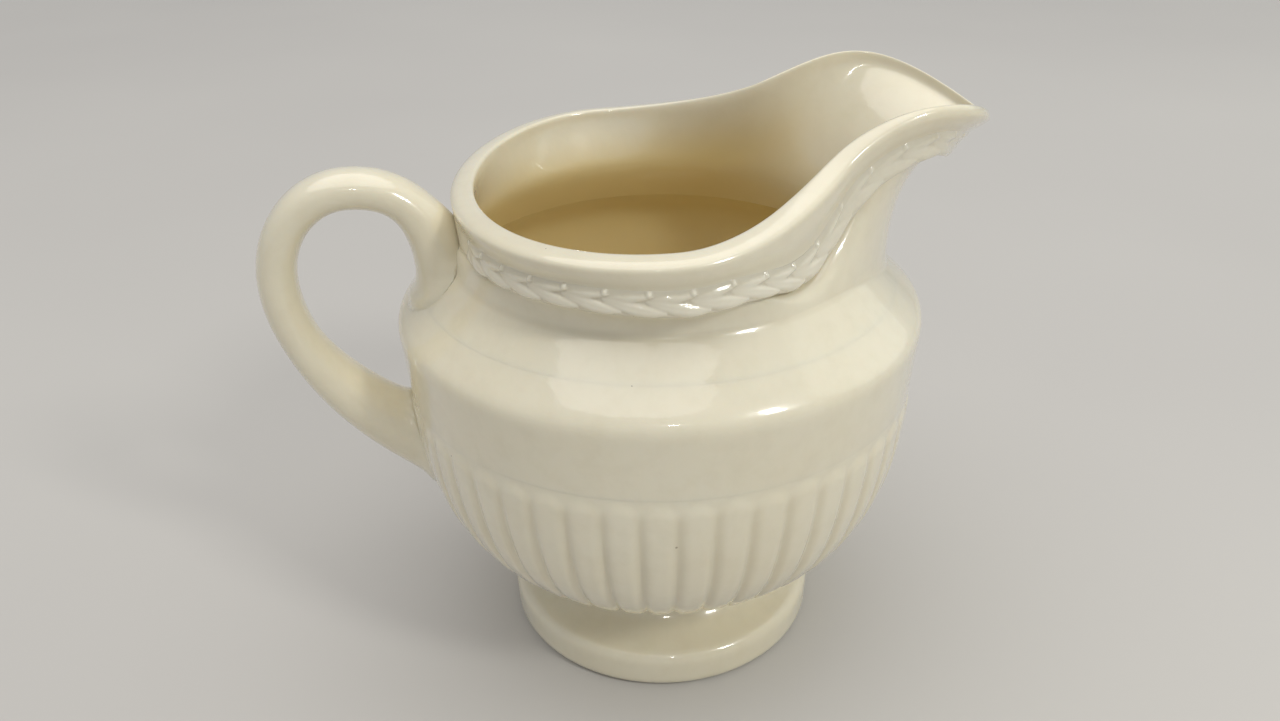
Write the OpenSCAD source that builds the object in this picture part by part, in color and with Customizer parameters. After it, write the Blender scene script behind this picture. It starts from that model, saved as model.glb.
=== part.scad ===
// Porcelain cream jug: a ribbed bowl on a pedestal foot, a plain shoulder, a short neck that runs out
// into a broad pouring spout, a laurel border in relief under the lip, and a loop handle.
// The foot stands on Z = 0 with its centre at the origin. The spout points along +X, the handle along -X.

/* [Foot] */
// Radius of the resting edge of the foot
foot_r = 29.1; // [26:0.1:31]
// Height of the upright edge of the foot
plinth_h = 5.6; // [4.5:0.1:6.5]
// Radius of the waist between foot and bowl
waist_r = 20; // [19:0.5:22]
// Thickness of the layer of slip that bonds the foot to the bowl
slip_t = 0.4; // [0.3:0.1:0.6]

/* [Bowl] */
// Largest radius of the bowl, over the ribs
bowl_r = 44.4; // [42:0.2:47]
// Wall thickness of bowl, shoulder and neck
wall = 3.2; // [2.6:0.1:3.6]
// Number of ribs round the bowl
rib_count = 48; // [40:4:56]
// Depth of the grooves between the ribs
groove_depth = 0.7; // [0.4:0.1:1.2]
// How far the plain wall stands back from the tops of the ribs
rib_proud = 0.35; // [0.2:0.05:0.5]

/* [Shoulder] */
// Radius of the neck where it rises from the shoulder
neck_r = 34.9; // [34:0.1:36]
// Height of the crease between shoulder and neck
neck_z = 74.9; // [74:0.1:76]
// Radius of the shoulder's outer corner; the plain wall leans out to it from the ribs
shoulder_r = 45; // [44.4:0.1:45.5]
// Rounding of the outer corner of the shoulder
corner_r = 2.4; // [1.5:0.1:3.5]

/* [Lip and spout] */
// Half width of the mouth at its widest
mouth_half_w = 38.5; // [38:0.1:39]
// How far the mouth reaches back towards the handle
mouth_back = 34; // [33.5:0.1:34.5]
// Height of the lip at the sides of the mouth
side_z = 87; // [86.5:0.1:87.5]
// How far the tip of the spout reaches out from the middle of the jug
tip_x = 57.5; // [56:0.1:59]
// Height of the tip of the spout
tip_z = 91.5; // [90.5:0.1:92.5]
// Width of the lip round the mouth
lip_w = 4; // [3.6:0.1:4.4]
// Width of the lip at the spout, where it thins to an edge
spout_lip_w = 1; // [0.8:0.1:1.6]
// Distance from the lip's outer edge down to the lower edge of the laurel border
border_drop = 7.1; // [6.5:0.1:8]
// How far the throat of the spout bulges over the shoulder
throat_out = 4.9; // [3.5:0.1:5]
// Half angle over which the throat fades into the neck
throat_spread = 27; // [22:1:32]

/* [Laurel border] */
// Number of leaf pairs on each side
leaf_count = 19; // [15:1:21]
// Height of the leaves above the neck
leaf_h = 0.6; // [0.4:0.1:1]

/* [Handle] */
// How far the middle of the strap stands out from the middle of the jug
handle_reach = 63; // [62:0.1:65]
// Height of the middle of the strap at its crown
handle_top_z = 88.5; // [87.5:0.1:89.5]
// Half width of the handle strap, across the jug
strap_half_w = 4.5; // [3.8:0.1:5]
// Half thickness of the handle strap at its crown
strap_half_t = 3.2; // [2.8:0.1:3.6]

/* [Hidden] */
glaze = [0.90, 0.88, 0.80];
relief = [0.86, 0.84, 0.75];
clay = [0.80, 0.76, 0.66];
$fn = 96;

// Heights of the seams between the sections
bowl_z0 = 15;
foot_top_z = bowl_z0 - slip_t;
rib_top_z = 53;
neck_seam_z = 70;
// Level of the bowl's greatest radius, and the depth of bowl and cavity below it
belly_z = 60;
bowl_depth = 46.5;
cavity_depth = 42;
// Shoulder: fall per unit of radius, and the height of its corner
shoulder_fall = 0.937;
corner_z = neck_z - (shoulder_r - neck_r) * shoulder_fall;
rib_pts = 4;

// ---- General functions ----
function mix(a, b, t) = a + (b - a) * t;
function ease(a, b, x) = let (u = min(max((x - a) / (b - a), 0), 1)) u * u * (3 - 2 * u);
// A point of a cubic curve, and the curve's direction there
function bez(p, t) = let (s = 1 - t)
    s * s * s * p[0] + 3 * s * s * t * p[1] + 3 * s * t * t * p[2] + t * t * t * p[3];
function bez_dir(p, t) = let (s = 1 - t)
    s * s * (p[1] - p[0]) + 2 * s * t * (p[2] - p[1]) + t * t * (p[3] - p[2]);
function bez_line(p, n, first = 0) = [for (i = [first:n]) bez(p, i / n)];
function flat(v) = [v.x, v.y, 0];
function arc(cx, cy, r, a0, a1, n = 8) =
    [for (i = [0:n]) let (a = mix(a0, a1, i / n)) [cx + r * cos(a), cy + r * sin(a)]];
function sum_to(list, k) = k == 0 ? 0 : list[k - 1] + sum_to(list, k - 1);

// Triangles between two rings of n points; a and b are the first points of the rings
function ring_faces(a, b, n) = [for (k = [0:n - 1]) let (m = (k + 1) % n)
    each [[a + k, b + k, a + m], [a + m, b + k, b + m]]];

// Solid skinned over rings of equal length, closed by flat caps or back on to the first ring
module skin(rings, loop = false) {
    n = len(rings[0]);
    count = len(rings);
    last = loop ? count - 1 : count - 2;
    sides = [for (j = [0:last]) each ring_faces(((j + 1) % count) * n, j * n, n)];
    caps = loop ? [] : [[for (k = [n - 1:-1:0]) k], [for (k = [0:n - 1]) (count - 1) * n + k]];
    polyhedron([for (ring = rings) each ring], concat(sides, caps));
}

// ---- Outlines of the body ----
// The bowl and its cavity swell as a superellipse of the third order
function swell(r, depth, z) = r * pow(1 - pow(min(max((belly_z - z) / depth, 0), 1), 3), 1 / 3);
function slope_z(r) = neck_z - (r - neck_r) * shoulder_fall;
function slope_r(z) = neck_r + (neck_z - z) / shoulder_fall;
slope_len = sqrt(1 + shoulder_fall * shoulder_fall);
function inner_slope_r(z) = slope_r(z) - wall * slope_len / shoulder_fall;
wall_r = bowl_r - rib_proud;
cavity_r = wall_r - wall;

// ---- Foot: a hollow pedestal with an upright edge and a cove ----
module foot() {
    edge = 0.9;
    outer_cove = [[foot_r - 1.5, plinth_h + 1.6], [foot_r - 5.5, plinth_h + 2.4],
        [waist_r + 0.3, plinth_h + 4.6], [waist_r, foot_top_z]];
    inner_cove = [[waist_r - 3, foot_top_z], [waist_r - 3, plinth_h + 3],
        [foot_r - 5, plinth_h], [foot_r - 3.6, 0]];
    color(glaze) rotate_extrude() polygon(concat(
        arc(foot_r - edge, edge, edge, -90, 0, 4),
        arc(foot_r - 1.7, plinth_h, 1.6, 0, 70, 5),
        bez_line(outer_cove, 8),
        bez_line(inner_cove, 6)));
}

// ---- Slip: the thin ring of liquid clay that bonds the foot to the bowl ----
module foot_slip() {
    color(clay) translate([0, 0, foot_top_z]) difference() {
        cylinder(h = slip_t, r = waist_r);
        translate([0, 0, -1]) cylinder(h = slip_t + 2, r = waist_r - 3);
    }
}

// ---- Bowl: rounded ribs between narrow grooves, over a smooth cavity ----
// Depth below the rib tops: groove, flank, crest, flank
function rib_cut(k) = [1, 0.3, 0, 0.3][k % rib_pts];
function rib_rise(z) = ease(rib_top_z, rib_top_z - 2.5, z);
function bowl_point_r(k, z) =
    swell(bowl_r, bowl_depth, z) - mix(rib_proud, groove_depth * rib_cut(k), rib_rise(z));
function bowl_ring(z) = [for (k = [0:rib_count * rib_pts - 1])
    let (a = 360 * k / (rib_count * rib_pts), r = bowl_point_r(k, z)) [r * cos(a), r * sin(a), z]];
function cavity_ring(z) = [for (k = [0:rib_count - 1])
    let (a = 360 * k / rib_count, r = swell(cavity_r, cavity_depth, z)) [r * cos(a), r * sin(a), z]];

module bowl() {
    n = rib_count * rib_pts;
    outer_z = [bowl_z0, 16.2, 18, 20.5, 24, 28.5, 34, 40, 45.5, 50.5, 51.8, rib_top_z];
    inner_z = [rib_top_z, 46, 38, 31, 26, 22.5, 20, 18.6];
    first_inner = len(outer_z) * n;
    rim_faces = [for (k = [0:rib_count - 1]) concat(
        [for (i = [0:rib_pts]) first_inner - n + (k * rib_pts + i) % n],
        [first_inner + (k + 1) % rib_count, first_inner + k])];
    color(glaze) polyhedron(
        concat([for (z = outer_z) each bowl_ring(z)], [for (z = inner_z) each cavity_ring(z)]),
        concat(
            [[for (k = [0:n - 1]) k]],
            [for (j = [0:len(outer_z) - 2]) each ring_faces(j * n, (j + 1) * n, n)],
            [for (f = rim_faces) [for (i = [len(f) - 1:-1:0]) f[i]]],
            [for (j = [0:len(inner_z) - 2])
                each ring_faces(first_inner + j * rib_count, first_inner + (j + 1) * rib_count, rib_count)],
            [[for (k = [rib_count - 1:-1:0]) first_inner + (len(inner_z) - 1) * rib_count + k]]));
}

// ---- Shoulder: the plain wall above the ribs, turned in at a rounded corner ----
module shoulder() {
    lean = atan(shoulder_fall);
    corner = [shoulder_r - corner_r, corner_z - corner_r * tan(lean / 2)];
    inner_z = corner_z - (shoulder_r - cavity_r) * tan(lean / 2);
    color(glaze) rotate_extrude() polygon(concat(
        [[cavity_r, rib_top_z], [wall_r, rib_top_z]],
        arc(corner.x, corner.y, corner_r, 0, 90 - lean, 6),
        [[slope_r(neck_seam_z), neck_seam_z], [inner_slope_r(neck_seam_z), neck_seam_z]],
        [[cavity_r, inner_z - 1.2]]));
}

// ---- Lip line: half of the rim seen from above, from the handle round to the tip of the spout ----
// Share of a radius that makes a Bezier curve a quarter of an ellipse
quarter = 0.55;
// The mouth is widest a little behind the middle, and its lip is lowest at the handle
widest_x = -4;
back_z = side_z - 1.5;
widest = [widest_x, mouth_half_w, side_z];
// Where the mouth narrows into the spout, and the way the lip runs there: inwards, and climbing
pinch = [24, 23.5, 93.5];
pinch_in = 34;
pinch_climb = 30;
pinch_run = [cos(pinch_in), -sin(pinch_in), tan(pinch_climb)];
// The lip arrives at the tip from a flared side that stands higher
tip = [tip_x, 0, tip_z];
flare = [-11, 26, 9.5];
lip_line = [
    [[-mouth_back, 0, back_z], [-mouth_back, quarter * mouth_half_w, back_z],
        widest - [quarter * (mouth_back + widest_x), 0, 0], widest],
    [widest, widest + [13, 0, 0], pinch - 4 * pinch_run, pinch],
    [pinch, pinch + 13 * pinch_run, tip + flare, tip]];
lip_steps = [13, 12, 15];
half_cols = 40;

// Where a column lies: [segment, place in the segment]
function lip_place(u) = let (k = u < lip_steps[0] ? 0 : u < lip_steps[0] + lip_steps[1] ? 1 : 2)
    [k, (u - sum_to(lip_steps, k)) / lip_steps[k]];
function lip_point(u) = let (p = lip_place(u)) bez(lip_line[p[0]], p[1]);
// Level direction out of the jug, square to the lip; it turns to +X where the two sides meet in the tip
tip_reach = 6;
function lip_normal(u) = let (p = lip_place(u), d = flat(bez_dir(lip_line[p[0]], p[1])),
    side = min(d.x / norm(d), lip_point(u).y / tip_reach), ahead = d.y > 0 ? -1 : 1)
    [ahead * sqrt(1 - side * side), side, 0];
function lip_width(u) = mix(lip_w, spout_lip_w, ease(15, 45, lip_point(u).x));
// How far the inner edge of the lip stands above its outer edge
function lip_rise(u) = mix(1.1, 1.6, ease(10, 40, lip_point(u).x));
// How far the surface under the lip leans inwards: nearly upright at the sides, steep under the tip
function lean(u) = mix(2, 44, ease(26, 60, lip_point(u).x));
// A swelling of height 1 round the place a, fading over the length b
function bump(x, a, b) = exp(-pow((x - a) / b, 2));
// The border hangs lower where the lip sweeps up to the spout, and again beside the tip
function spread(u) = let (x = lip_point(u).x)
    0.88 + 0.14 * ease(-20, 0, x) + 0.62 * bump(x, 18.5, 8.5) + 0.22 * bump(x, 50, 6);
// Distance from the lip down to the upper edge of the border; it closes up to the lip along the spout
function border_top(u) = let (x = lip_point(u).x) mix(3.3, 4.5, ease(2, 14, x)) - 1.4 * ease(16, 28, x);
// The border ends on both sides of the handle
function relief_at(u) = ease(1, 2.4, u);
// A point on the outside under the lip: d along the surface, h above it
function under_lip(u, d, h) = let (n = lip_normal(u), a = lean(u), up = [0, 0, 1])
    lip_point(u) - d * spread(u) * (up * cos(a) + n * sin(a)) + h * (n * cos(a) - up * sin(a));
function azimuth(p) = atan2(p.y, p.x);
function throat(a) = exp(-pow(a / throat_spread, 2));
function base_r(a) = neck_r + throat_out * throat(a);
function polar(r, a, z) = [r * cos(a), r * sin(a), z];

// Neck outside, from the undercut below the border down to the crease on the shoulder
function outer_curve(u) = let (
    top = under_lip(u, border_drop + 0.6, -0.3 - 1.4 * relief_at(u)),
    a = azimuth(lip_point(u)), r = base_r(a), base = polar(r, a, slope_z(r)),
    p1 = mix(top, [base.x, base.y, top.z - 0.6], 0.71), p2 = polar(r - 0.7, a, mix(base.z, top.z, 0.5)))
    [top, [p1.x, p1.y, top.z - 0.6], p2, base];
// Neck inside, from the lip down to the narrowest part
function inner_curve(u) = let (
    top = lip_point(u) - lip_width(u) * lip_normal(u) - [0, 0, 0.4],
    a = azimuth(top), g = throat(a), r = base_r(a) - wall - 0.3, base = polar(r, a, slope_z(r + wall) + 1.2),
    drop = top.z - base.z, p1 = mix(top, base, mix(0.15, 0.45, g)), p2 = mix(top, base, 0.9),
    z1 = top.z - 0.28 * (1 - g) * drop + 0.3 * g, z2 = base.z + (0.35 + 0.32 * g) * drop)
    [top, [p1.x, p1.y, z1], [p2.x, p2.y, z2], base];

// One column of the neck, all the way round its section
function neck_column(u) = let (
    o = lip_point(u), n = lip_normal(u), f = relief_at(u), w = lip_width(u), up = [0, 0, 1],
    outer = outer_curve(u), inner = inner_curve(u), a_in = azimuth(inner[3]),
    t = border_top(u), h = lip_rise(u))
    concat(
        [o, under_lip(u, 0.4 * t, -0.15), under_lip(u, 0.8 * t, -0.15 - 0.14 * t * f)],
        [under_lip(u, t + 0.2, -0.2 - 0.5 * f), under_lip(u, mix(t, border_drop, 0.5), -0.25 - 0.2 * f)],
        [under_lip(u, border_drop, -0.3)],
        [for (i = [0:5]) bez(outer, i / 5)],
        [polar(slope_r(neck_seam_z), azimuth(outer[3]), neck_seam_z)],
        [polar(inner_slope_r(neck_seam_z), a_in, neck_seam_z)],
        [for (i = [5:-1:0]) bez(inner, i / 5)],
        [o - n * 0.95 * w + up * h, o - n * 0.6 * w + up * 0.95 * h, o - n * 0.2 * w + up * 0.65 * h]);

function mirrored(ring) = [for (p = ring) [p.x, -p.y, p.z]];

module neck_and_spout() {
    left = [for (u = [0:half_cols]) neck_column(u)];
    right = [for (u = [half_cols - 1:-1:1]) mirrored(neck_column(u))];
    color(glaze) skin(concat(left, right), loop = true);
}

// ---- Laurel border: overlapping leaves in low relief, one strip on each side ----
strip_u0 = 2.4;
strip_u1 = half_cols - 0.4;
strip_rows = 5;
// Height of one leaf: a pointed ridge that runs slantwise across the strip
function leaf(s, v) = let (c = s - 0.5 + 0.55 * (0.5 - v)) max(0, 1 - pow(abs(c) / 0.5, 2));
function strip_height(s, v) = 0.2 + (leaf_h - 0.2) * leaf(s - floor(s), v) * sin(180 * mix(0.15, 0.85, v));
function strip_point(u, v, h) =
    under_lip(u, mix(border_top(u) + 0.2, border_drop, v), mix(-0.7, -0.3, v) + h);
function strip_ring(i, n) = let (u = mix(strip_u0, strip_u1, i / n), s = leaf_count * i / n) concat(
    [for (j = [0:strip_rows - 1]) let (v = j / (strip_rows - 1)) strip_point(u, v, strip_height(s, v))],
    [for (j = [strip_rows - 1:-1:0]) strip_point(u, j / (strip_rows - 1), 0)]);

module laurel_left() {
    n = leaf_count * 5;
    color(relief) skin([for (i = [0:n]) strip_ring(i, n)]);
}
module laurel_right() mirror([0, 1, 0]) laurel_left();

// ---- Handle: a loop that stands on the shoulder, leans on the neck and lands on the ribs ----
// Middle of the strap, as [x, z]: it stands on the shoulder close to the neck, turns over the crown, is
// furthest out below it and slants down to the ribs
handle_root = [-36.5, 67];
// It rises with a slight lean inwards
root_run = [0.4, 13];
crown = [-50, handle_top_z];
furthest = [-handle_reach, 73];
landing = [-38.5, 38.5];
landing_fall = 34;
handle_line = [
    [handle_root, handle_root + root_run, crown + [11, 0], crown],
    [crown, crown + [-quarter * (handle_reach + crown.x), 0],
        furthest + [0, quarter * (handle_top_z - furthest.y)], furthest],
    [furthest, furthest - [0, 10.5], landing + 22 * [-cos(landing_fall), sin(landing_fall)], landing]];
handle_steps = [11, 8, 13];
ring_pts = 16;

// The body's outline behind the handle: neck, shoulder, wall and ribs
function body_r(z) = z > neck_z ? neck_r - 1.4 * ease(neck_z, neck_z + 3, z)
    : z > corner_z ? slope_r(z)
    : z > rib_top_z ? mix(wall_r, shoulder_r, (z - rib_top_z) / (corner_z - rib_top_z))
    : swell(bowl_r, bowl_depth, z);
// Points that would lie inside the body are laid on its surface
function on_body(p) = let (grow = max(1, body_r(p.z) / norm([p.x, p.y])))
    [p.x * grow, p.y * grow, p.z];
function strap_t(w) = strap_half_t + 0.9 * ease(9, 0, w) + 2.2 * ease(22, 32, w);
function strap_w(w) = strap_half_w + 1.7 * ease(8, 0, w) + 2.2 * ease(23, 32, w);
function handle_ring(k, i, w) = let (
    s = i / handle_steps[k], c = bez(handle_line[k], s), d = bez_dir(handle_line[k], s), l = norm(d),
    nx = -d.y / l, nz = d.x / l, t = strap_t(w), b = strap_w(w))
    [for (j = [0:ring_pts - 1]) let (a = 360 * j / ring_pts)
        on_body([c.x + t * cos(a) * nx, b * sin(a), c.y + t * cos(a) * nz])];

module handle() {
    rings = [for (k = [0:2]) for (i = [k == 0 ? 0 : 1:handle_steps[k]])
        handle_ring(k, i, sum_to(handle_steps, k) + i)];
    color(glaze) skin(rings);
}

foot();
foot_slip();
bowl();
shoulder();
neck_and_spout();
laurel_left();
laurel_right();
handle();
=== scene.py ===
"""Looks of the cream jug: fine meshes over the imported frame, glazes, floor, light and camera.

Shapes are worked out in millimetres, in the frame of the CAD model, and become metres when a mesh is made.
The spout points along +X, the handle along -X, and the foot stands on Z = 0.
"""

import math

import bpy
import numpy as np
from mathutils import Matrix, Vector


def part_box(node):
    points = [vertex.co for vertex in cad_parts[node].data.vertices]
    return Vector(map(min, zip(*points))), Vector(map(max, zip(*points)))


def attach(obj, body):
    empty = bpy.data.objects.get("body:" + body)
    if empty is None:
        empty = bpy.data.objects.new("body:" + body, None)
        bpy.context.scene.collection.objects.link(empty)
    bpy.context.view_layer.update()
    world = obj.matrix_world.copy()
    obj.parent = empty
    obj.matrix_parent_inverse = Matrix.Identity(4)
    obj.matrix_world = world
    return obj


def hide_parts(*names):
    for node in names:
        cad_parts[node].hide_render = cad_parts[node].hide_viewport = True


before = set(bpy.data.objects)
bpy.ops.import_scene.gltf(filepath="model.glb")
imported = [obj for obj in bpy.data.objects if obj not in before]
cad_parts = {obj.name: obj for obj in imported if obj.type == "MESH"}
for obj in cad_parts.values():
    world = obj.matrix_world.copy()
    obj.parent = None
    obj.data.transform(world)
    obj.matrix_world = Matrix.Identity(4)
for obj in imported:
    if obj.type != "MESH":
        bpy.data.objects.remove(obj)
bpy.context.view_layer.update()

MM = 0.001


def box_mm(node):
    """Lowest and highest corner of a CAD node, in millimetres."""
    low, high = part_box(node)
    return np.array(low) / MM, np.array(high) / MM


# ---- Sizes taken from the frame ----
FOOT_R = box_mm("foot")[1][0]
FOOT_TOP_Z = box_mm("foot")[1][2]
BOWL_Z0 = box_mm("bowl")[0][2]
RIB_TOP_Z = box_mm("bowl")[1][2]
SHOULDER_R = box_mm("shoulder")[1][0] - 0.01
NECK_SEAM_Z = box_mm("shoulder")[1][2]
WAIST_R = box_mm("foot_slip")[1][0]
TIP_X = box_mm("neck_and_spout")[1][0]
HANDLE_X = box_mm("handle")[0][0]

# ---- Driving sizes of the shapes ----
PLINTH_H = 5.6
RIBS = 48
RIB_PROUD = 0.35
GROOVE_DEPTH = 0.7
BOWL_R = 44.4
WALL_R = BOWL_R - RIB_PROUD
WALL = 3.2
CAVITY_R = WALL_R - WALL
BELLY_Z = 60.0
BOWL_DEPTH = 46.5
CAVITY_DEPTH = 42.0
NECK_R = 34.9
NECK_Z = 74.9
SHOULDER_FALL = 0.937
CORNER_R = 2.4
CORNER_Z = NECK_Z - (SHOULDER_R - NECK_R) * SHOULDER_FALL
LIP_W = 4.0
SPOUT_LIP_W = 1.0
BORDER_DROP = 7.1
THROAT_OUT = 4.9
THROAT_SPREAD = math.radians(27)
LEAVES = 19
LEAF_H = 0.42
STRAP_HALF_W = 4.5
STRAP_HALF_T = 3.2

# ---- Fineness of the meshes ----
ROUND = 192
RIB_COLUMNS = 14
NECK_HALF_COLUMNS = 180
LEAF_COLUMNS = 30
LEAF_ROWS = 26
HANDLE_RINGS = 150
HANDLE_POINTS = 48

UP = np.array([0.0, 0.0, 1.0])
chance = np.random.default_rng(11)


# ---- General functions ----
def mix(a, b, t):
    return a + (b - a) * t


def ease(a, b, x):
    u = np.clip((np.asarray(x, float) - a) / (b - a), 0, 1)
    return u * u * (3 - 2 * u)


def bez(points, t):
    """Cubic Bezier curve: points (..., 4, dims), t (...)."""
    p = np.asarray(points, float)
    t = np.asarray(t, float)[..., None]
    return (
        (1 - t) ** 3 * p[..., 0, :]
        + 3 * (1 - t) ** 2 * t * p[..., 1, :]
        + 3 * (1 - t) * t * t * p[..., 2, :]
        + t ** 3 * p[..., 3, :]
    )


def bez_dir(points, t):
    p = np.asarray(points, float)
    t = np.asarray(t, float)[..., None]
    return (
        (1 - t) ** 2 * (p[..., 1, :] - p[..., 0, :])
        + 2 * (1 - t) * t * (p[..., 2, :] - p[..., 1, :])
        + t * t * (p[..., 3, :] - p[..., 2, :])
    )


def arc(centre, radius, start, end, count):
    """Points of an arc, angles in degrees."""
    a = np.radians(np.linspace(start, end, count))
    return np.stack([centre[0] + radius * np.cos(a), centre[1] + radius * np.sin(a)], -1)


def bez_line(points, count):
    """Points along one Bezier curve, without its first."""
    return bez(np.array([points] * count), np.linspace(0, 1, count + 1)[1:])


def evenly(line, spacing):
    """The same open line with points about that far apart."""
    length = np.r_[0, np.cumsum(np.linalg.norm(np.diff(line, axis=0), axis=1))]
    at = np.linspace(0, length[-1], max(2, int(round(length[-1] / spacing)) + 1))
    return np.stack([np.interp(at, length, line[:, i]) for i in range(line.shape[1])], -1)


def soften(points, weight, passes, axis, closed):
    """Rounds edges along one axis of a grid, as a coat of glaze does; weight 0 keeps a point."""
    p = np.moveaxis(points, axis, 0).copy()
    w = np.moveaxis(np.broadcast_to(weight[..., None], points.shape), axis, 0) * 0.5
    for _ in range(passes):
        before, after = np.roll(p, 1, 0), np.roll(p, -1, 0)
        if not closed:
            before[0], after[-1] = p[0], p[-1]
        p = p + w * ((before + after) / 2 - p)
    return np.moveaxis(p, 0, axis)


# ---- Meshes ----
def grid_faces(rows, columns, loop_rows):
    """Quads between rows of points that close on themselves; a row is a ring."""
    r = np.arange(rows if loop_rows else rows - 1)[:, None]
    c = np.arange(columns)[None, :]
    below, above = r * columns, ((r + 1) % rows) * columns
    right = (c + 1) % columns
    quads = np.stack([below + c, below + right, above + right, above + c], -1)
    return quads.reshape(-1, 4).tolist()


def make_piece(name, node, slot, material, grid, loop_rows=False, sharp_rows=(), flip=False, **marks):
    """One closed piece from a grid of rings (rows, columns, 3) in millimetres. It stands for a CAD node.

    sharp_rows are rings whose edges stay sharp, and flip turns faces that would point inwards. marks are
    values for each point that the glaze reads.
    """
    rows, columns = grid.shape[:2]
    faces = grid_faces(rows, columns, loop_rows)
    if not loop_rows:
        faces.append(list(range(columns))[::-1])
        faces.append([(rows - 1) * columns + c for c in range(columns)])
    if flip:
        faces = [f[::-1] for f in faces]
    mesh = bpy.data.meshes.new(name)
    mesh.from_pydata((grid.reshape(-1, 3) * MM).tolist(), [], faces)
    mesh.update()
    for mark, values in marks.items():
        layer = mesh.attributes.new(mark, "FLOAT", "POINT")
        layer.data.foreach_set("value", np.broadcast_to(values, (rows, columns)).astype(np.float32).ravel())
    mesh.polygons.foreach_set("use_smooth", np.ones(len(mesh.polygons), bool))
    if len(sharp_rows):
        ends = np.zeros(len(mesh.edges) * 2, int)
        mesh.edges.foreach_get("vertices", ends)
        row_of = ends.reshape(-1, 2) // columns
        on_ring = (row_of[:, 0] == row_of[:, 1]) & np.isin(row_of[:, 0], list(sharp_rows))
        layer = mesh.attributes.new("sharp_edge", "BOOLEAN", "EDGE")
        layer.data.foreach_set("value", on_ring)
    mesh.materials.append(material)
    piece = bpy.data.objects.new(name, mesh)
    bpy.context.scene.collection.objects.link(piece)
    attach(piece, "root")
    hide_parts(node)
    return piece


def revolve(profile, columns=ROUND):
    """Grid of rings from a profile of (radius, height)."""
    a = np.linspace(0, 2 * math.pi, columns, endpoint=False)
    ring = np.stack([np.cos(a), np.sin(a)], -1)
    flat = profile[:, None, :1] * ring[None]
    height = np.broadcast_to(profile[:, None, 1:], (len(profile), columns, 1))
    return np.concatenate([flat, height], -1)


# ---- Materials ----
def new_material(name):
    material = bpy.data.materials.new(name)
    material.use_nodes = True
    nodes, links = material.node_tree.nodes, material.node_tree.links
    return material, nodes, links, nodes["Principled BSDF"]


def noise(nodes, links, where, scale, detail, roughness=0.5):
    node = nodes.new("ShaderNodeTexNoise")
    node.inputs["Scale"].default_value = scale
    node.inputs["Detail"].default_value = detail
    node.inputs["Roughness"].default_value = roughness
    links.new(where, node.inputs["Vector"])
    return node.outputs["Fac"]


def span(nodes, links, value, low, high, to_low, to_high):
    """Maps low..high to to_low..to_high, held at the ends."""
    node = nodes.new("ShaderNodeMapRange")
    node.clamp = True
    for socket, number in zip(("From Min", "From Max", "To Min", "To Max"), (low, high, to_low, to_high)):
        node.inputs[socket].default_value = number
    links.new(value, node.inputs["Value"])
    return node.outputs["Result"]


def maths(nodes, links, operation, a, b):
    node = nodes.new("ShaderNodeMath")
    node.operation = operation
    for socket, value in zip(node.inputs, (a, b)):
        if isinstance(value, (int, float)):
            socket.default_value = value
        else:
            links.new(value, socket)
    return node.outputs[0]


def tint(nodes, links, factor, base, colour):
    """base turned towards colour by factor; base is a socket or a colour."""
    node = nodes.new("ShaderNodeMix")
    node.data_type = "RGBA"
    links.new(factor, node.inputs[0])
    if isinstance(base, tuple):
        node.inputs[6].default_value = (*base, 1)
    else:
        links.new(base, node.inputs[6])
    node.inputs[7].default_value = (*colour, 1)
    return node.outputs[2]


def mark(nodes, name):
    node = nodes.new("ShaderNodeAttribute")
    node.attribute_name = name
    return node.outputs["Fac"]


# Painted shade and warm bounced light deep inside the jug, in a honey colour
INNER_SHADE_HONEY = (0.74, 0.60, 0.30)


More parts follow.
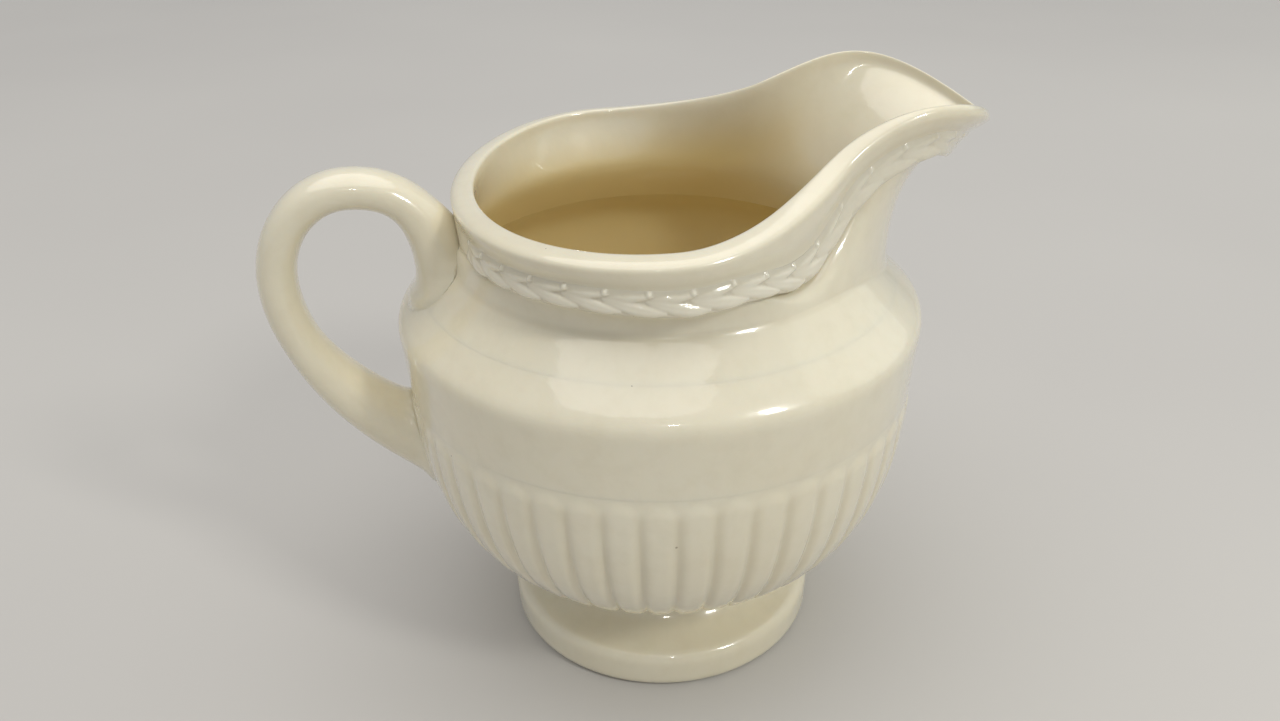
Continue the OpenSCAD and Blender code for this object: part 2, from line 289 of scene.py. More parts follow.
def glaze(name, light, warm, pool, bare=(0.62, 0.56, 0.45)):
    """A clear glossy glaze over pale ware, with drifts of tone, specks, pinholes and a faint ripple.

    One mark darkens its colour, partly as glaze pooled in hollows and partly as painted shade in grooves,
    undercuts, joints and under the foot. Another paints shade and warm bounced light inside the jug in honey.
    Where the mark bare is 1 the unglazed ware shows.
    """
    material, nodes, links, shader = new_material(name)
    where = nodes.new("ShaderNodeTexCoord").outputs["Object"]
    drift = noise(nodes, links, where, 22, 3)
    mottle = noise(nodes, links, where, 260, 4, 0.6)
    colour = tint(nodes, links, span(nodes, links, drift, 0.35, 0.68, 0, 1), light, warm)
    colour = tint(nodes, links, span(nodes, links, mottle, 0.45, 0.75, 0, 0.16), colour, pool)
    # Painted shade in grooves, coves, undercuts, joints and under the foot, with glaze pooled in the hollows
    pooled = mark(nodes, "pool")
    colour = tint(nodes, links, span(nodes, links, pooled, 0, 1, 0, 0.8), colour, pool)
    # Painted shade and warm bounced light inside the jug, in honey
    colour = tint(nodes, links, mark(nodes, "deep"), colour, INNER_SHADE_HONEY)

    cells = nodes.new("ShaderNodeTexVoronoi")
    cells.inputs["Scale"].default_value = 190
    links.new(where, cells.inputs["Vector"])
    tone = nodes.new("ShaderNodeSeparateColor")
    links.new(cells.outputs["Color"], tone.inputs[0])
    chosen = span(nodes, links, tone.outputs[0], 0.80, 0.82, 0, 1)
    size = span(nodes, links, tone.outputs[1], 0, 1, 0.015, 0.045)
    inside = maths(nodes, links, "LESS_THAN", cells.outputs["Distance"], size)
    speck = maths(nodes, links, "MULTIPLY", inside, chosen)
    colour = tint(nodes, links, maths(nodes, links, "MULTIPLY", speck, 0.55), colour, (0.16, 0.12, 0.07))

    unglazed = mark(nodes, "bare")
    grain = noise(nodes, links, where, 1500, 3, 0.7)
    clay = tint(nodes, links, span(nodes, links, grain, 0.35, 0.7, 0, 0.4), bare, (0.45, 0.37, 0.26))
    over = nodes.new("ShaderNodeMix")
    over.data_type = "RGBA"
    links.new(unglazed, over.inputs[0])
    links.new(colour, over.inputs[6])
    links.new(clay, over.inputs[7])
    links.new(over.outputs[2], shader.inputs["Base Color"])

    sheen = noise(nodes, links, where, 90, 4)
    rough = span(nodes, links, sheen, 0.3, 0.7, 0.16, 0.27)
    links.new(maths(nodes, links, "ADD", rough, span(nodes, links, unglazed, 0, 1, 0, 0.5)),
              shader.inputs["Roughness"])
    shader.inputs["IOR"].default_value = 1.5
    shader.inputs["Coat Weight"].default_value = 0.9
    shader.inputs["Coat Roughness"].default_value = 0.02
    shader.inputs["Coat IOR"].default_value = 1.5
    shader.inputs["Subsurface Weight"].default_value = 0.12
    shader.inputs["Subsurface Radius"].default_value = (1.0, 0.7, 0.4)
    shader.inputs["Subsurface Scale"].default_value = 0.0018

    ripple = noise(nodes, links, where, 120, 2)
    peel = noise(nodes, links, where, 700, 2)
    height = maths(nodes, links, "ADD", maths(nodes, links, "MULTIPLY", ripple, 1.0),
                   maths(nodes, links, "MULTIPLY", peel, 0.12))
    height = maths(nodes, links, "SUBTRACT", height, maths(nodes, links, "MULTIPLY", speck, 0.6))
    bump = nodes.new("ShaderNodeBump")
    bump.inputs["Strength"].default_value = 0.35
    bump.inputs["Distance"].default_value = 0.00022
    links.new(height, bump.inputs["Height"])
    links.new(bump.outputs["Normal"], shader.inputs["Normal"])
    links.new(bump.outputs["Normal"], shader.inputs["Coat Normal"])
    return material


IVORY = (0.80, 0.745, 0.585)
IVORY_WARM = (0.78, 0.71, 0.53)
# Colour for pooled glaze and painted shade; the mottle leans to it too
POOL_AND_SHADE = (0.60, 0.52, 0.34)
glaze_body = glaze("glaze_body", IVORY, IVORY_WARM, POOL_AND_SHADE)
glaze_relief = glaze("glaze_relief", (0.78, 0.73, 0.60), (0.76, 0.70, 0.55), (0.50, 0.43, 0.29))
slip_clay = glaze("slip_clay", (0.72, 0.66, 0.52), (0.66, 0.60, 0.46), (0.48, 0.41, 0.28))


# ---- Foot ----
def make_foot():
    edge = 0.9
    plinth_in = 1.7
    outer = [[FOOT_R - 1.5, PLINTH_H + 1.6], [FOOT_R - 5.5, PLINTH_H + 2.4],
             [WAIST_R + 0.3, PLINTH_H + 4.6], [WAIST_R, FOOT_TOP_Z]]
    inner = [[WAIST_R - 3, FOOT_TOP_Z], [WAIST_R - 3, PLINTH_H + 3],
             [FOOT_R - 5, PLINTH_H], [FOOT_R - 3.6, 0]]
    outside = evenly(np.vstack([
        arc((FOOT_R - edge, edge), edge, -90, 0, 7),
        arc((FOOT_R - plinth_in, PLINTH_H), plinth_in, 0, 66, 9),
        bez_line(outer, 30)]), 0.45)
    inside = evenly(bez(np.array([inner] * 24), np.linspace(0, 1, 24)), 0.6)
    base = np.linspace(inside[-1], outside[0], 5)[1:-1]
    profile = np.vstack([outside, inside, base])
    corner = [len(outside) - 1, len(outside)]
    keep = np.ones(len(profile))
    keep[corner] = 0
    keep[-5:] = 0
    profile = soften(profile[:, None, :], keep[:, None], 6, 0, True)[:, 0]
    radius, height = profile[:, 0], profile[:, 1]
    # Painted shade, with some pooled glaze in the cove: faint in the cove up to the waist, stronger in the
    # hollow under the foot
    cove = ease(5, 1, radius - WAIST_R) * ease(PLINTH_H, PLINTH_H + 4, height) * (radius >= WAIST_R - 0.5)
    hollow = 0.5 * (radius < WAIST_R - 0.6)
    bare = (height < 0.12) * 1.0
    pool = np.maximum(cove * 0.2, hollow)
    return make_piece("foot_piece", "foot", "glaze", glaze_body, revolve(profile), loop_rows=True,
                      sharp_rows=corner, deep=0.0, pool=pool[:, None], bare=bare[:, None])


# ---- Slip between foot and bowl: a thin ring that squeezed out a little ----
def make_slip():
    middle = (FOOT_TOP_Z + BOWL_Z0) / 2
    half = (BOWL_Z0 - FOOT_TOP_Z) / 2
    outside = arc((WAIST_R - half * 0.9, middle), half * 1.3, -50, 50, 7)
    inside = arc((WAIST_R - 3 + half, middle), half * 1.3, 130, 230, 7)
    # The ring is darkened all over: glaze pooled in the joint, and painted shade in the narrow waist under
    # the bowl
    return make_piece("slip_ring", "foot_slip", "clay", slip_clay, revolve(np.vstack([outside, inside])),
                      loop_rows=True, deep=0.0, pool=0.7, bare=0.0)


# ---- Bowl ----
def swell(radius, depth, z):
    t = np.clip((BELLY_Z - np.asarray(z, float)) / depth, 0, 1)
    return radius * (1 - t ** 3) ** (1 / 3)


def wall_radius(z):
    """The plain wall: it leaves the bowl's curve and leans out to the corner of the shoulder."""
    return mix(WALL_R, SHOULDER_R, (np.asarray(z) - RIB_TOP_Z) / (CORNER_Z - RIB_TOP_Z))


def make_bowl():
    fine_z = np.linspace(BOWL_Z0, 49, 600)
    lower = evenly(np.stack([swell(BOWL_R, BOWL_DEPTH, fine_z), fine_z], -1), 0.75)[:, 1]
    outer_z = np.r_[lower, np.linspace(49, RIB_TOP_Z, 15)[1:]]
    columns = RIBS * RIB_COLUMNS
    a = np.linspace(0, 2 * math.pi, columns, endpoint=False)
    rib = np.arange(columns) // RIB_COLUMNS
    # 0 on the crest of a rib, 1 in the groove beside it
    across = np.abs(2 * ((np.arange(columns) % RIB_COLUMNS) / RIB_COLUMNS) - 1)
    cut = ease(0, 1, across ** 2.4)
    top = RIB_TOP_Z - 0.4 - 1.5 * across ** 2 + chance.uniform(-0.2, 0.2, RIBS)[rib]
    z = outer_z[:, None]
    depth = GROOVE_DEPTH * chance.uniform(0.94, 1.06, RIBS)[rib] * ease(60, 34, z)
    rise = ease(0, 2.6, top[None] - z)
    radius = swell(BOWL_R, BOWL_DEPTH, z) - mix(RIB_PROUD, depth * cut, rise)
    outer = np.stack([radius * np.cos(a), radius * np.sin(a), np.broadcast_to(z, radius.shape)], -1)

    # The cavity, from the seam down to the middle of its floor
    t = np.linspace(math.asin(((BELLY_Z - RIB_TOP_Z) / CAVITY_DEPTH) ** 1.5), math.radians(89.7), 34)
    cavity_r, cavity_z = CAVITY_R * np.cos(t) ** (2 / 3), BELLY_Z - CAVITY_DEPTH * np.sin(t) ** (2 / 3)
    cavity = revolve(np.stack([cavity_r, cavity_z], -1), columns)
    # The underside inside the foot, from its middle out to the ribs
    under_r = np.array([0.6, 5, 10, 14.5, 17.5])
    under = revolve(np.stack([under_r, np.full(len(under_r), BOWL_Z0)], -1), columns)
    under[:, :, 2] += (0.5 * ease(17.5, 4, under_r))[:, None]
    grid = np.concatenate([under, outer, cavity])
    # Painted shade, with pooled glaze, in the grooves between the ribs; painted shade under the bowl inside
    # the foot and faintly in the cavity
    pool = np.zeros(grid.shape[:2])
    first = len(under)
    pool[first:first + len(outer)] = 0.45 * cut * rise
    pool[first + len(outer):] = 0.12
    pool[:first] = 0.4
    # Painted shade and warm bounced light all over the cavity
    deep = (np.arange(len(grid)) >= first + len(outer))[:, None] * 1.0
    return make_piece("ribbed_bowl", "bowl", "glaze", glaze_body, grid, deep=deep,
                      sharp_rows=(first + len(outer) - 1, first + len(outer), first), pool=pool, bare=0.0)


# ---- Shoulder ----
def slope_z(radius):
    return NECK_Z - (radius - NECK_R) * SHOULDER_FALL


def slope_r(z):
    return NECK_R + (NECK_Z - z) / SHOULDER_FALL


def inner_slope_r(z):
    return slope_r(z) - WALL * math.hypot(1, SHOULDER_FALL) / SHOULDER_FALL


def make_shoulder():
    lean = math.degrees(math.atan(SHOULDER_FALL))
    corner = (SHOULDER_R - CORNER_R, CORNER_Z - CORNER_R * math.tan(math.radians(lean / 2)))
    wall_z = np.linspace(RIB_TOP_Z, corner[1] - 0.4, 14)
    wall = np.stack([wall_radius(wall_z), wall_z], -1)
    turn = arc(corner, CORNER_R, 0, 90 - lean, 14)
    seam = np.array([[slope_r(NECK_SEAM_Z), NECK_SEAM_Z]])
    outside = evenly(np.vstack([wall, turn, seam]), 0.5)
    under_seam = np.array([inner_slope_r(NECK_SEAM_Z), NECK_SEAM_Z])
    inside_bend = [under_seam, under_seam + [3.2, -3.2 * SHOULDER_FALL], [CAVITY_R, 65], [CAVITY_R, 60]]
    inside = np.vstack([under_seam[None], bez_line(inside_bend, 14), [[CAVITY_R, RIB_TOP_Z]]])
    profile = np.vstack([outside, inside])
    keep = np.ones(len(profile))
    last = len(outside) - 1
    keep[[0, 1, last - 1, last, last + 1, -1]] = 0
    profile = soften(profile[:, None, :], keep[:, None], 8, 0, True)[:, 0]
    # Painted shade and warm bounced light on the inside under the shoulder
    deep = (np.arange(len(profile)) > last)[:, None] * 1.0
    return make_piece("shoulder_wall", "shoulder", "glaze", glaze_body, revolve(profile, 2 * ROUND),
                      loop_rows=True, sharp_rows=(0, last, last + 1, len(profile) - 1),
                      deep=deep, pool=0.0, bare=0.0)


# ---- Lip line: half of the rim from above, from the handle round to the tip of the spout ----
# Share of a radius that makes a Bezier curve a quarter of an ellipse
QUARTER = 0.55
MOUTH_BACK = 34.0
WIDEST = np.array([-4.0, 38.5, 87.0])
BACK = np.array([-MOUTH_BACK, 0.0, WIDEST[2] - 1.5])
# Where the mouth narrows into the spout, and the way the lip runs there: inwards, and climbing
PINCH = np.array([24.0, 23.5, 93.5])
PINCH_IN, PINCH_CLIMB = math.radians(34), math.radians(30)
PINCH_RUN = np.array([math.cos(PINCH_IN), -math.sin(PINCH_IN), math.tan(PINCH_CLIMB)])
# The lip arrives at the tip from a flared side that stands higher
TIP = np.array([TIP_X, 0.0, 91.5])
FLARE = np.array([-11.0, 26.0, 9.5])
LIP_LINE = np.array([
    [BACK, BACK + [0, QUARTER * WIDEST[1], 0], WIDEST - [QUARTER * (MOUTH_BACK + WIDEST[0]), 0, 0], WIDEST],
    [WIDEST, WIDEST + [13, 0, 0], PINCH - 4 * PINCH_RUN, PINCH],
    [PINCH, PINCH + 13 * PINCH_RUN, TIP + FLARE, TIP]])
LIP_STEPS = np.array([13, 12, 15])
LIP_STARTS = np.r_[0, np.cumsum(LIP_STEPS)[:-1]]
LIP_END = LIP_STEPS.sum()
TIP_REACH = 6.0


def lip_place(u):
    k = np.clip(np.searchsorted(LIP_STARTS, u, side="right") - 1, 0, 2)
    return LIP_LINE[k], (u - LIP_STARTS[k]) / LIP_STEPS[k]


def lip_point(u):
    return bez(*lip_place(u))


def lip_normal(u):
    """Level direction out of the jug, square to the lip. It turns to +X as the two sides meet in the tip."""
    d = bez_dir(*lip_place(u))
    out = np.stack([-d[..., 1], d[..., 0]], -1)
    out /= np.linalg.norm(out, axis=-1, keepdims=True)
    side = np.minimum(out[..., 1], lip_point(u)[..., 1] / TIP_REACH)
    return np.stack([np.sign(out[..., 0] + 1e-9) * np.sqrt(1 - side ** 2), side, np.zeros_like(side)], -1)


def lip_width(u):
    """The lip thins to an edge along the spout."""
    return mix(LIP_W, SPOUT_LIP_W, ease(15, 45, lip_point(u)[..., 0]))


def lip_rise(u):
    """How far the inner edge of the lip stands above its outer edge."""
    return mix(1.1, 1.6, ease(10, 40, lip_point(u)[..., 0]))


def lean(u):
    """How far the surface under the lip leans inwards: nearly upright at the sides, steep under the tip."""
    return np.radians(mix(2, 44, ease(26, 60, lip_point(u)[..., 0])))


def bump(x, place, length):
    """A swelling of height 1 round place that fades over length."""
    return np.exp(-((x - place) / length) ** 2)


def spread(u):
    """The border hangs lower where the lip sweeps up to the spout, and again beside the tip."""
    x = lip_point(u)[..., 0]
    return 0.88 + 0.14 * ease(-20, 0, x) + 0.62 * bump(x, 18.5, 8.5) + 0.22 * bump(x, 50, 6)


def border_top(u):
    """Distance from the lip down to the upper edge of the border; it closes up to the lip along the spout."""
    x = lip_point(u)[..., 0]
    return mix(3.3, 4.5, ease(2, 14, x)) - 1.4 * ease(16, 28, x)


def relief_at(u):
    """The border ends on both sides of the handle."""
    return ease(1, 2.4, u)


def under_lip(u, d, h):
    """A point on the outside under the lip: d along the surface, h above it."""
    n, a = lip_normal(u), lean(u)[..., None]
    d = (d * spread(u))[..., None]
    h = np.broadcast_to(h, np.shape(u))[..., None]
    return lip_point(u) - d * (UP * np.cos(a) + n * np.sin(a)) + h * (n * np.cos(a) - UP * np.sin(a))


def azimuth(p):
    return np.arctan2(p[..., 1], p[..., 0])


def throat(a):
    return np.exp(-(a / THROAT_SPREAD) ** 2)


def base_r(a):
    return NECK_R + THROAT_OUT * throat(a)


def polar(radius, a, z):
    radius, a, z = np.broadcast_arrays(radius, a, z)
    return np.stack([radius * np.cos(a), radius * np.sin(a), z], -1)


def surface_h(u, d):
    """Height of the surface below the lip, against a plain band: bead, cove, then the bed of the border."""
    top = border_top(u)
    cove = 0.14 * top * np.exp(-((d - 0.8 * top) / (0.3 * top)) ** 2)
    bed = 0.5 * ease(0.75 * top, top + 0.1, d) * ease(BORDER_DROP, mix(top, BORDER_DROP, 0.3), d)
    fall = 0.15 * ease(0, 1.2, d) + 0.15 * ease(1.2, BORDER_DROP, d)
    return -fall - relief_at(u) * (cove * (1 - bed) + bed)


def outer_curve(u):
    top = under_lip(u, BORDER_DROP + 0.6, -0.3 - 1.4 * relief_at(u))
    a = azimuth(lip_point(u))
    r = base_r(a)
    base = polar(r, a, slope_z(r))
    p1 = mix(top, base, 0.71)
    p1[..., 2] = top[..., 2] - 0.6
    p2 = polar(r - 0.7, a, mix(base[..., 2], top[..., 2], 0.5))
    return np.stack([top, p1, p2, base], -2)


def inner_curve(u):
    top = lip_point(u) - lip_width(u)[..., None] * lip_normal(u) - 0.4 * UP
    a = azimuth(top)
    g = throat(a)
    r = base_r(a) - WALL - 0.3
    base = polar(r, a, slope_z(r + WALL) + 1.2)
    drop = top[..., 2] - base[..., 2]
    p1, p2 = mix(top, base, mix(0.15, 0.45, g)[..., None]), mix(top, base, 0.9)
    p1[..., 2] = top[..., 2] - 0.28 * (1 - g) * drop + 0.3 * g
    p2[..., 2] = base[..., 2] + (0.35 + 0.32 * g) * drop
    return np.stack([top, p1, p2, base], -2)


def even_u(count, first=0.0, last=LIP_END):
    """Places along the lip with equal lengths between them."""
    fine = np.linspace(first, last, 3000)
    length = np.r_[0, np.cumsum(np.linalg.norm(np.diff(lip_point(fine), axis=0), axis=1))]
    return np.interp(np.linspace(0, length[-1], count), length, fine), length[-1]


def make_neck():
    u, _ = even_u(NECK_HALF_COLUMNS + 1)
    o, n, w = lip_point(u), lip_normal(u), lip_width(u)[:, None]
    rows, pool, hold = [], [], []

    def add(points, pooled=0.0, held=False):
        rows.append(points)
        pool.append(np.broadcast_to(pooled, u.shape))
        hold.append(held)

    # Down the outside: bead, cove, bed of the border, undercut
    # Painted shade, with pooled glaze, in the cove under the bead; stronger painted shade in the undercut
    # below the border
    for d in np.arange(0, BORDER_DROP + 0.01, 0.3):
        add(under_lip(u, d, surface_h(u, d)), 0.4 * bump(d / border_top(u), 0.85, 0.2))
    for step in np.linspace(0.25, 1, 4):
        add(under_lip(u, BORDER_DROP + 0.6 * step, -0.3 - 1.4 * relief_at(u) * step), 0.8 * relief_at(u))
    # Concave neck to the crease on the shoulder, then the slope down to the seam
    outer = outer_curve(u)
    # Painted shade just under the undercut and along the crease on the shoulder
    for t in np.linspace(0, 1, 27)[1:]:
        add(bez(outer, np.full(u.shape, t)), 0.55 * bump(t, 0, 0.12) + 0.25 * bump(t, 1, 0.08))
    a_out = azimuth(outer[:, 3])
    foot_r, seam_r = base_r(a_out), slope_r(NECK_SEAM_Z)
    for t in np.linspace(0, 1, 10)[1:]:
        r = mix(foot_r, seam_r, t)
        add(polar(r, a_out, slope_z(r)), 0.0, t > 0.85)
    # Through the wall at the seam and up the inside
    inner = inner_curve(u)
    a_in = azimuth(inner[:, 3])
    # Faint painted shade on the inside, fading up towards the lip
    add(polar(inner_slope_r(NECK_SEAM_Z), a_in, NECK_SEAM_Z), 0.1, True)
    seam_rows = (len(rows) - 2, len(rows) - 1)
    seam_in = rows[-1]
    for t in np.linspace(0, 1, 7)[1:-1]:
        add(mix(seam_in, inner[:, 3], t), 0.1)
    for t in np.linspace(1, 0, 34):
        add(bez(inner, np.full(u.shape, t)), 0.1 * t)
    # Over the lip: a crisp inner edge, a broad top and a round outer edge
    rim = lip_rise(u)[:, None]
    for across, rise in ((0.985, 0.1), (0.98, 0.6), (0.965, 0.92), (0.93, 1.0), (0.82, 1.0), (0.66, 0.96),
                         (0.5, 0.9), (0.36, 0.82), (0.25, 0.72), (0.16, 0.57), (0.08, 0.36), (0.03, 0.16)):
        add(o - n * across * w + rise * rim * UP, 0.0)

    half = np.stack(rows)
    mirrored = half[:, -2:0:-1] * [1, -1, 1]
    grid = np.concatenate([half, mirrored], 1)
    pooled = np.stack(pool)
    pooled = np.concatenate([pooled, pooled[:, -2:0:-1]], 1)
    along = np.concatenate([u, u[-2:0:-1]])
    held = np.array(hold)
    grid = soften(grid, np.where(held, 0.0, 1.0)[:, None] * np.ones(len(along)), 2, 0, True)
    near_tip = ease(LIP_END - 3, LIP_END - 0.5, along)[None] * np.where(held, 0.0, 1.0)[:, None]
    grid = soften(grid, near_tip, 10, 1, True)
    # Inside, the neck flows into the shoulder without a corner
    place = np.arange(len(grid))[:, None] - seam_rows[1]
    inside = ease(0, 4, place) * ease(30, 20, place) * np.ones(len(along))
    grid = soften(grid, inside, 30, 0, True)
    # Painted shade and warm bounced light, deepening down the inside and fading out along the spout
    lip_z = lip_point(along)[:, 2]
    deep = ease(0.5, 12, lip_z - grid[..., 2]) * ease(40, 14, grid[..., 0])
    deep[:seam_rows[1]] = 0
    return make_piece("neck_with_spout", "neck_and_spout", "glaze", glaze_body, grid, loop_rows=True,
                      sharp_rows=seam_rows, deep=deep, pool=pooled, bare=0.0)


# ---- Laurel border ----
STRIP_FIRST = 2.4
STRIP_LAST = LIP_END - 0.35
# Each leaf: start and end along the strip (in groups), start and end across it, half width, height.
# Across runs from 0 at the upper edge to 1 at the lower edge.
LEAF_SHAPES = (
    (-0.05, 1.42, 0.42, 0.86, 0.235, 1.0),
    (0.05, 1.12, 0.36, 0.20, 0.150, 0.80),
)
BERRY_PLACE = (0.02, 0.15)
BERRY_R = 0.5


def leaf_height(s, v, group, width):
    """Relief of the leaves at s groups along and v across; group and width are lengths in millimetres."""
    best = np.zeros(np.broadcast(s, v).shape)
    whole = np.floor(s)
    for back in (2, 1, 0, -1):
        local = s - whole + back
        for start, end, v0, v1, half, tall in LEAF_SHAPES:
            run = np.clip((local - start) / (end - start), 0, 1)
            inside = (local > start) & (local < end)
            centre = mix(v0, v1, run) + 0.05 * np.sin(math.pi * run)
            shape = half * np.sqrt(np.clip(np.sin(math.pi * np.clip(run, 0.001, 0.999) ** 0.85), 0, 1))
            off = (v - centre) / np.maximum(shape, 1e-4)
            dome = np.sqrt(np.clip(1 - off ** 2, 0, 1))
            vein = 1 - 0.16 * np.exp(-(off / 0.16) ** 2)
            along = mix(0.35, 1.0, ease(0, 0.55, run)) * mix(1.0, 0.72, ease(0.6, 1, run))
            best = np.maximum(best, np.where(inside, tall * dome * vein * along, 0))
        dx = (local - BERRY_PLACE[0]) * group
        dy = (v - BERRY_PLACE[1]) * width
        ball = np.sqrt(np.clip(BERRY_R ** 2 - dx ** 2 - dy ** 2, 0, None)) / BERRY_R
        best = np.maximum(best, 1.05 * ball)
    return best


def make_laurel(name, node, side):
    count = LEAVES * LEAF_COLUMNS
    u, length = even_u(count + 1, STRIP_FIRST, STRIP_LAST)
    s = np.linspace(0, LEAVES, count + 1)
    group = length / LEAVES
    rows, pool = [], []
    top = border_top(u)
    # The leaves come out of the mould fainter along the spout
    soft = mix(1.0, 0.5, ease(14, 30, lip_point(u)[:, 0]))
    for v in np.linspace(0, 1, LEAF_ROWS):
        d = mix(top, BORDER_DROP, v)
        tall = leaf_height(s, v, group, (BORDER_DROP - top) * spread(u))
        bed = 0.16 * ease(0, 0.25, v) + 0.06
        fade = ease(0, 0.8, s) * ease(0, 2.2, LEAVES - s)
        scallop = 0.22 * np.abs(np.sin(math.pi * (s - 0.35))) * ease(0.75, 1, v) * fade
        height = (bed + LEAF_H * soft * tall) * mix(0.25, 1, fade)
        rows.append(under_lip(u, d + scallop, surface_h(u, d) + height))
        # Painted shade between the leaves and berries where the relief is low, with pooled glaze
        pool.append(0.45 * (1 - np.clip(tall * 1.3, 0, 1)) ** 1.5 * fade * soft)
    # Strong painted shade along the tucked edges of the strip
    for v, h in ((1.03, -0.35), (0.88, -0.9), (0.15, -1.1), (-0.03, -0.9)):
        rows.append(under_lip(u, mix(top, BORDER_DROP, v), np.full(u.shape, h)))
        pool.append(np.full(u.shape, 0.8))
    grid = np.stack(rows, 1) * [1, side, 1]
    along_v = np.ones((1, len(rows)))
    along_v[0, -4:] = 0
    grid = soften(grid, along_v * np.ones((count + 1, 1)), 1, 1, True)
    return make_piece(name, node, "relief", glaze_relief, grid, flip=side > 0,
                      deep=0.0, pool=np.stack(pool, 1), bare=0.0)


# ---- Handle ----
HANDLE_OUT = HANDLE_X + STRAP_HALF_T + 0.18
# Middle of the strap, as (x, z): it stands on the shoulder close to the neck, turns over the crown, is
# furthest out below it and slants down to the ribs
HANDLE_ROOT = np.array([-36.5, 67.0])
# It rises with a slight lean inwards
ROOT_RUN = np.array([0.4, 13.0])
CROWN = np.array([-50.0, 88.5])
FURTHEST = np.array([HANDLE_OUT, 73.0])
LANDING = np.array([-38.5, 38.5])
LANDING_FALL = math.radians(34)
FALL_RUN = np.array([math.cos(LANDING_FALL), -math.sin(LANDING_FALL)])
HANDLE_LINE = np.array([
    [HANDLE_ROOT, HANDLE_ROOT + ROOT_RUN, CROWN + [11, 0], CROWN],
    [CROWN, CROWN + [QUARTER * (HANDLE_OUT - CROWN[0]), 0],
     FURTHEST + [0, QUARTER * (CROWN[1] - FURTHEST[1])], FURTHEST],
    [FURTHEST, FURTHEST - [0, 10.5], LANDING - 22 * FALL_RUN, LANDING]])
HANDLE_STEPS = np.array([11, 8, 13])
HANDLE_STARTS = np.r_[0, np.cumsum(HANDLE_STEPS)[:-1]]
FILLET = 1.3
ROOT_FILLET = 2.0


def body_r(z):
    """The body's outline behind the handle: neck, shoulder, wall and ribs."""
    neck = NECK_R - 1.4 * ease(NECK_Z, NECK_Z + 3, z)
    plain = np.minimum(slope_r(z), wall_radius(z))
    return np.where(z > NECK_Z, neck, np.where(z > RIB_TOP_Z, plain, swell(BOWL_R, BOWL_DEPTH, z) - 0.1))


def make_handle():
    w = np.linspace(0, HANDLE_STEPS.sum(), HANDLE_RINGS)
    k = np.clip(np.searchsorted(HANDLE_STARTS, w, side="right") - 1, 0, 2)
    t = (w - HANDLE_STARTS[k]) / HANDLE_STEPS[k]
    centre, d = bez(HANDLE_LINE[k], t), bez_dir(HANDLE_LINE[k], t)
    d /= np.linalg.norm(d, axis=1, keepdims=True)
    thick = STRAP_HALF_T + 0.9 * ease(9, 0, w) + 2.2 * ease(22, 32, w)
    wide = STRAP_HALF_W + 1.7 * ease(8, 0, w) + 2.2 * ease(23, 32, w)
    a = np.linspace(0, 2 * math.pi, HANDLE_POINTS, endpoint=False)
    # A strap with a full outer face and a slightly flatter inner one
    ca, sa = np.cos(a), np.sin(a)
    out = np.sign(ca) * np.abs(ca) ** 0.94
    side = np.sign(sa) * np.abs(sa) ** 0.94

    def rings(extra):
        tt = (thick[:, None] + extra) * out
        x = centre[:, :1] - tt * d[:, 1:]
        z = centre[:, 1:] + tt * d[:, :1]
        return np.stack([x, (wide[:, None] + extra) * side, z], -1)

    def gap(p):
        return np.linalg.norm(p[..., :2], axis=-1) - body_r(p[..., 2])

    plain = rings(np.zeros((HANDLE_RINGS, HANDLE_POINTS)))
    fillet = mix(FILLET, ROOT_FILLET, ease(9, 4, w))[:, None]
    grown = rings(fillet * np.exp(-np.clip(gap(plain), 0, None) / fillet))
    radius = np.linalg.norm(grown[..., :2], axis=-1)
    inside = np.clip(-gap(grown), 0, None)
    grown[..., :2] *= ((radius + inside - 0.05 * (inside > 0)) / radius)[..., None]
    # Painted shade where the handle meets the body
    pool = 0.1 * np.exp(-np.clip(gap(grown), 0, None) / 0.7)
    return make_piece("loop_handle", "handle", "glaze", glaze_body, grown, flip=True,
                      deep=0.0, pool=pool, bare=0.0)


make_foot()
make_slip()
make_bowl()
make_shoulder()
make_neck()
make_laurel("laurel_border_left", "laurel_left", 1)
make_laurel("laurel_border_right", "laurel_right", -1)
make_handle()


# ---- Floor ----
def make_floor():
    material, nodes, links, shader = new_material("floor_paper")
    where = nodes.new("ShaderNodeTexCoord").outputs["Object"]
    shade = span(nodes, links, noise(nodes, links, where, 3, 3), 0.3, 0.7, 0, 1)
    links.new(tint(nodes, links, shade, (0.52, 0.50, 0.475), (0.56, 0.54, 0.51)), shader.inputs["Base Color"])
    shader.inputs["Roughness"].default_value = 0.75
    half, count = 2.5, 20
    mesh = bpy.data.meshes.new("floor")
    steps = np.linspace(-half, half, count + 1)
    x, y = np.meshgrid(steps, steps)
    points = np.stack([x, y, np.zeros_like(x)], -1).reshape(-1, 3)
    corners = [r * (count + 1) + c for r in range(count) for c in range(count)]
    faces = [[k, k + 1, k + count + 2, k + count + 1] for k in corners]
    mesh.from_pydata(points.tolist(), [], faces)
    mesh.materials.append(material)
    floor = bpy.data.objects.new("floor", mesh)
    bpy.context.scene.collection.objects.link(floor)


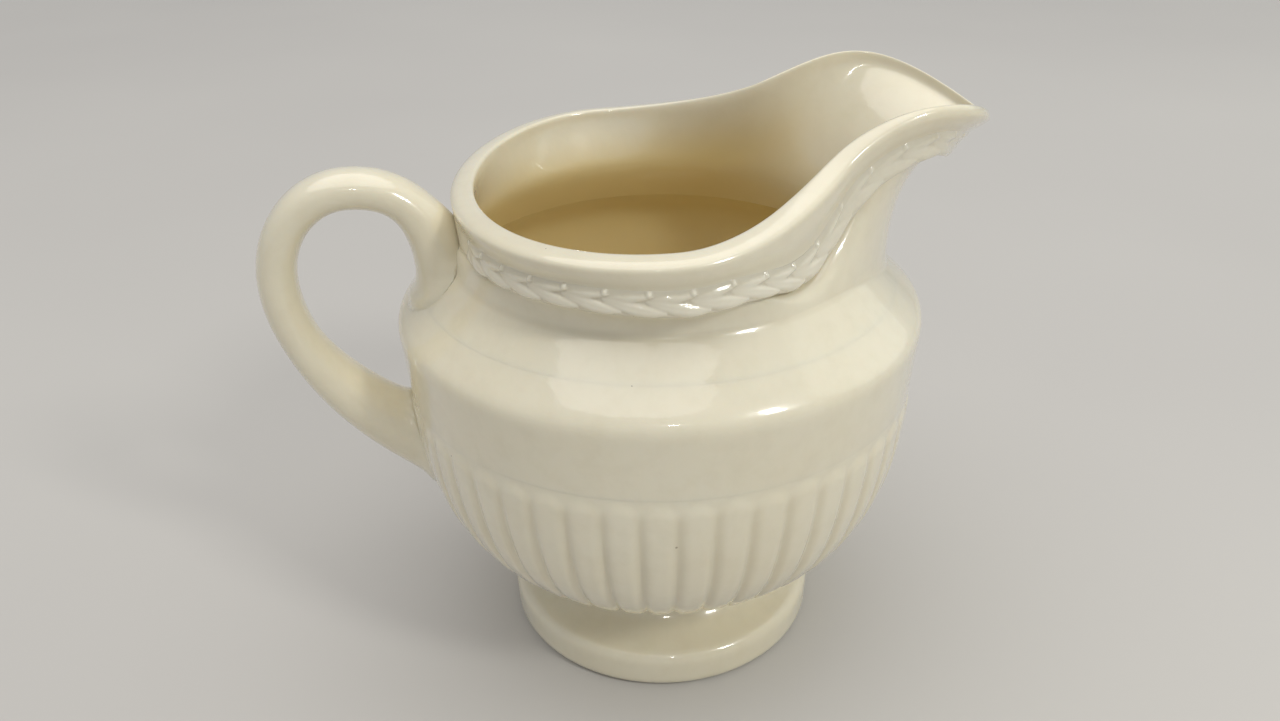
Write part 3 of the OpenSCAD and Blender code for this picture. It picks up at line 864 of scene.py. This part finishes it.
# ---- Light ----
def make_light(name, place, aim, size, power, colour, shape="RECTANGLE"):
    """A soft box of size (width, height) in metres, at place and turned to aim."""
    lamp = bpy.data.lights.new(name, "AREA")
    lamp.shape = shape
    lamp.size, lamp.size_y = size
    lamp.energy = power
    lamp.color = colour
    light = bpy.data.objects.new(name, lamp)
    light.location = place
    back = np.array(place, float) - np.array(aim, float)
    light.rotation_mode = "QUATERNION"
    light.rotation_quaternion = Vector(back).to_track_quat("Z", "Y")
    bpy.context.scene.collection.objects.link(light)


def make_studio():
    world = bpy.data.worlds.new("studio")
    world.use_nodes = True
    background = world.node_tree.nodes["Background"]
    background.inputs["Color"].default_value = (0.93, 0.96, 1.0, 1)
    background.inputs["Strength"].default_value = 0.45
    bpy.context.scene.world = world
    middle = (0, 0, 0.06)
    make_light("overhead", (-0.1, 0.1, 1.6), middle, (2.2, 2.2), 16.5, (1.0, 0.97, 0.93), "DISK")
    make_light("right_window", (0.454, -0.541, 0.636), middle, (0.13, 0.17), 2.0, (1.0, 1.0, 0.95))
    make_light("front_lamp", (-0.08, -0.85, 0.75), middle, (0.07, 0.05), 0.35, (1.0, 0.97, 0.90))
    make_light("right_fill", (1.3, 0.1, 0.8), middle, (1.5, 1.5), 2.6, (0.95, 1.0, 0.90), "DISK")


# ---- Camera: at the photograph's viewing angle ----
def make_camera():
    place = np.array([-31.6, -162.7, 145.3]) * MM
    yaw, pitch, roll = math.radians(9.79), math.radians(29.49), math.radians(-1.14)
    ahead = np.array([math.sin(yaw) * math.cos(pitch), math.cos(yaw) * math.cos(pitch), -math.sin(pitch)])
    level = np.array([math.cos(yaw), -math.sin(yaw), 0])
    over = np.cross(level, ahead)
    right = math.cos(roll) * level + math.sin(roll) * over
    top = -math.sin(roll) * level + math.cos(roll) * over
    data = bpy.data.cameras.new("camera")
    data.sensor_width = 36.0
    data.lens = 29.53
    data.clip_start, data.clip_end = 0.01, 20
    camera = bpy.data.objects.new("camera", data)
    turn = Matrix((right, top, -ahead)).transposed().to_4x4()
    turn.translation = place
    camera.matrix_world = turn
    bpy.context.scene.collection.objects.link(camera)
    bpy.context.scene.camera = camera


make_floor()
make_studio()
make_camera()
bpy.context.scene.view_settings.view_transform = "Standard"
